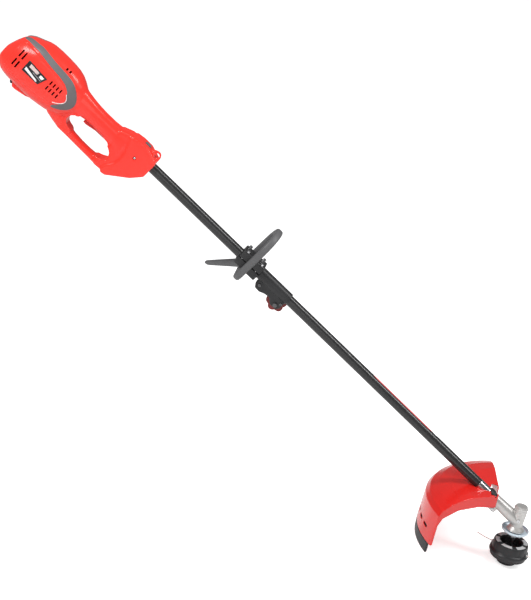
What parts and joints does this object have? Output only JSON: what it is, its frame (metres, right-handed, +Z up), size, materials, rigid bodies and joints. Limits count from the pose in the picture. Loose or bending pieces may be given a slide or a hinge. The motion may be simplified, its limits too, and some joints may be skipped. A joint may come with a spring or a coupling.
{
  "type": "string trimmer",
  "caption": "Electric string trimmer: top motor with closed rear handle, straight split shaft, loop handle with barrier bar, bevel gear case, bump-feed line head and fan-shaped guard.",
  "frame": {"origin": "on the ground under the cutting head, at the middle of the bump knob's flat end", "axes": "+X forward, away from the operator; +Y to the operator's left; +Z up along the spindle, with the shaft climbing towards -X at 58 degrees from +Z"},
  "size_m": [1.5842, 0.3655, 1.0496],
  "materials": {
    "red_housing": "semi-gloss moulded",
    "grey_trim": "satin",
    "black_plastic": "fine texture",
    "black_tube": "gloss powder coat",
    "dark_grey_plastic": "fine texture",
    "dark_red_plastic": "satin",
    "zinc_steel": "zinc plated",
    "dark_steel": "ground and oiled",
    "cast_aluminium": "cast, satin",
    "pale_zinc": "pressed, zinc plated",
    "clear_red": "translucent moulded",
    "copper": "enamelled wire",
    "laminated_steel": "laminated",
    "carbon": "graphite",
    "bronze": "sintered",
    "nylon_line": "extruded"
  },
  "bodies": {
    "upper_unit": {"housing_left": "red_housing", "housing_right": "red_housing", "trim_band_left": "grey_trim", "trim_band_right": "grey_trim", "label_plate": "black_plastic", "housing_screws": "zinc_steel", "cord_gland": "black_plastic", "stator_core": "laminated_steel", "field_coils": "copper", "brush_holders": "bronze", "carbon_brushes": "carbon", "motor_bearings": "dark_steel", "power_switch": "black_plastic", "upper_tube": "black_tube", "upper_bushings": "bronze", "coupler_left": "black_plastic", "coupler_right": "black_plastic", "coupler_screws": "zinc_steel", "coupler_bolt": "zinc_steel", "trigger_spring": "zinc_steel", "lock_off_spring": "zinc_steel"},
    "front_handle": {"loop_handle": "dark_grey_plastic", "handle_clamp": "dark_grey_plastic", "handle_bolts": "zinc_steel", "barrier_bar": "dark_grey_plastic"},
    "clamp_knob": {"coupler_knob": "dark_red_plastic"},
    "trigger_lever": {"trigger": "red_housing"},
    "lock_off": {"lock_off_button": "black_plastic"},
    "motor_rotor": {"motor_shaft": "dark_steel", "armature_core": "laminated_steel", "commutator": "copper", "cooling_fan": "black_plastic", "shaft_coupling": "dark_steel", "upper_drive_shaft": "dark_steel"},
    "lower_boom": {"lower_tube": "black_tube", "tube_sleeve": "zinc_steel", "lower_bushings": "bronze", "guard": "clear_red", "guard_strap": "black_plastic", "guard_screws": "zinc_steel", "skirt_extension": "black_plastic", "line_cutter": "zinc_steel", "gear_case": "cast_aluminium", "case_clamp_bolt": "zinc_steel", "grease_plug": "zinc_steel", "gear_bearings": "dark_steel"},
    "lower_drive": {"lower_drive_shaft": "dark_steel", "drive_pinion": "dark_steel"},
    "cutting_head": {"output_shaft": "dark_steel", "bevel_gear": "dark_steel", "cup_plate": "pale_zinc", "head_housing": "black_plastic", "head_cover": "black_plastic", "line_eyelets": "zinc_steel", "cutting_line_a": "nylon_line", "cutting_line_b": "nylon_line"},
    "bump_feed": {"bump_knob": "black_plastic", "line_spool": "black_plastic", "line_coil": "nylon_line", "feed_spring": "zinc_steel"}
  },
  "joints": [
    {"name": "handle_slide", "type": "slide", "parent": "upper_unit", "child": "front_handle", "axis": [-0.848, 0, 0.5299], "range_m": [0, 0.16]},
    {"name": "clamp_knob_spin", "type": "hinge", "parent": "upper_unit", "child": "clamp_knob", "pos_m": [-0.72031, 0.02, 0.53354], "axis": [0, 1, 0], "continuous": true},
    {"name": "trigger_squeeze", "type": "hinge", "parent": "upper_unit", "child": "trigger_lever", "pos_m": [-1.20592, 0, 0.84524], "axis": [0, 1, 0], "range_deg": [0, 5], "stiffness_Nm_per_rad": 2, "springref_deg": -2.86},
    {"name": "lock_off_press", "type": "slide", "parent": "upper_unit", "child": "lock_off", "axis": [-0.5299, 0, -0.848], "range_m": [0, 0.0025], "stiffness_N_per_m": 800, "springref_m": -0.002},
    {"name": "motor_spin", "type": "hinge", "parent": "upper_unit", "child": "motor_rotor", "pos_m": [-1.35688, 0, 0.96787], "axis": [-0.848, 0, 0.5299], "continuous": true},
    {"name": "boom_slide", "type": "slide", "parent": "upper_unit", "child": "lower_boom", "axis": [0.848, 0, -0.5299], "range_m": [0, 0.05]},
    {"name": "lower_drive_spin", "type": "hinge", "parent": "lower_boom", "child": "lower_drive", "pos_m": [-0.33922, 0, 0.33197], "axis": [-0.848, 0, 0.5299], "continuous": true},
    {"name": "head_spin", "type": "hinge", "parent": "lower_boom", "child": "cutting_head", "pos_m": [0, 0, 0.05], "axis": [0, 0, 1], "continuous": true},
    {"name": "bump_press", "type": "slide", "parent": "cutting_head", "child": "bump_feed", "axis": [0, 0, 1], "range_m": [0, 0.006], "stiffness_N_per_m": 2500, "springref_m": -0.003}
  ],
  "couplings": [
    {"joint": "lower_drive_spin", "follows": "motor_spin", "ratio": 1},
    {"joint": "head_spin", "follows": "motor_spin", "ratio": -0.75}
  ]
}
